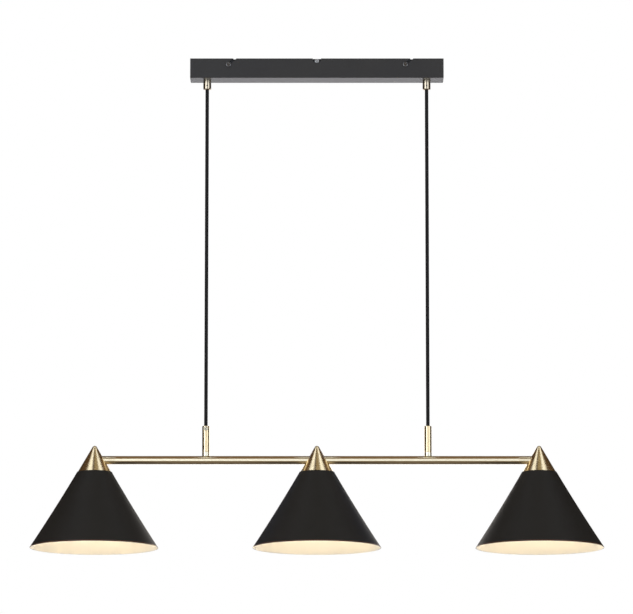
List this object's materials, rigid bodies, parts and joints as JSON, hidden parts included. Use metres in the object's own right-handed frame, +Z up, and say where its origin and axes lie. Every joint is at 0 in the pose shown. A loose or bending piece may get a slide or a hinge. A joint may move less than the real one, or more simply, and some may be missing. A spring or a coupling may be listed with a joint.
{
  "type": "linear island pendant",
  "caption": "Long pendant light: cone shades with turned caps along a slim bar, hung level on straight textile cords from a narrow box canopy.",
  "frame": {"origin": "middle of the bracket's top face, which lies on the ceiling", "axes": "+Z up into the ceiling, +X along the bar to the right in the picture, +Y to the back, away from the viewer"},
  "size_m": [1.005, 0.225, 0.8705],
  "materials": {
    "canopy_paint": "matte",
    "shade_paint": "satin",
    "brushed_brass": "satin",
    "black_textile": "matte",
    "wire_insulation": "matte",
    "zinc_steel": "satin",
    "black_zinc": "satin",
    "dark_screw": "satin",
    "bright_screw": "polished",
    "white_nylon": "matte",
    "brown_wire": "matte",
    "blue_wire": "matte",
    "earth_wire": "matte",
    "holder_black": "matte",
    "nickel_contact": "satin",
    "lamp_base": "satin",
    "opal_glass": "gloss"
  },
  "bodies": {
    "bracket": {"ceiling_bracket": "black_zinc", "canopy_screws": "dark_screw", "earth_screw": "bright_screw"},
    "canopy": {"canopy_cover": "canopy_paint", "grip_washers": "zinc_steel", "grip_locknuts": "zinc_steel", "cord_clamps": "white_nylon", "grip_set_screws": "dark_screw", "terminal_block": "white_nylon", "terminal_screws": "bright_screw", "canopy_studs": "zinc_steel", "stud_nuts": "zinc_steel", "lead_brown": "brown_wire", "lead_earth": "earth_wire", "lead_blue": "blue_wire", "cord_grip_left": "brushed_brass", "cord_tail_left": "black_textile", "cord_grip_right": "brushed_brass", "cord_tail_right": "black_textile"},
    "cords": {"cord_left": "black_textile", "cord_right": "black_textile"},
    "bar": {"stem_left": "brushed_brass", "stem_right": "brushed_brass", "stem_collar_left": "brushed_brass", "stem_collar_right": "brushed_brass", "end_stub_left": "brushed_brass", "end_stub_right": "brushed_brass", "stem_screws": "bright_screw", "stem_nipples": "zinc_steel", "bar_tube": "brushed_brass", "bar_wiring": "wire_insulation", "cone_cap_left": "brushed_brass", "cone_cap_centre": "brushed_brass", "cone_cap_right": "brushed_brass", "shade_left": "shade_paint", "shade_centre": "shade_paint", "shade_right": "shade_paint", "lampholder_left": "holder_black", "lampholder_centre": "holder_black", "lampholder_right": "holder_black", "shade_nipples": "zinc_steel", "shade_nuts": "zinc_steel", "socket_shells": "nickel_contact", "centre_contacts": "nickel_contact"},
    "bulb_left": {"bulb_base_left": "lamp_base", "bulb_glass_left": "opal_glass"},
    "bulb_centre": {"bulb_base_centre": "lamp_base", "bulb_glass_centre": "opal_glass"},
    "bulb_right": {"bulb_base_right": "lamp_base", "bulb_glass_right": "opal_glass"}
  },
  "joints": [
    {"name": "canopy_release", "type": "slide", "parent": "bracket", "child": "canopy", "axis": [-0.7071, 0, -0.7071], "range_m": [0, 0.02]},
    {"name": "swing", "type": "hinge", "parent": "canopy", "child": "cords", "pos_m": [0, 0, -0.0525], "axis": [1, 0, 0], "range_deg": [-20, 20]},
    {"name": "height_adjust", "type": "slide", "parent": "cords", "child": "bar", "axis": [0, 0, 1], "range_m": [0, 0.2], "deforming": ["cord_left", "cord_right"]},
    {"name": "bulb_left_out", "type": "slide", "parent": "bar", "child": "bulb_left", "axis": [0, 0, -1], "range_m": [0, 0.115]},
    {"name": "bulb_centre_out", "type": "slide", "parent": "bar", "child": "bulb_centre", "axis": [0, 0, -1], "range_m": [0, 0.115]},
    {"name": "bulb_right_out", "type": "slide", "parent": "bar", "child": "bulb_right", "axis": [0, 0, -1], "range_m": [0, 0.115]}
  ]
}
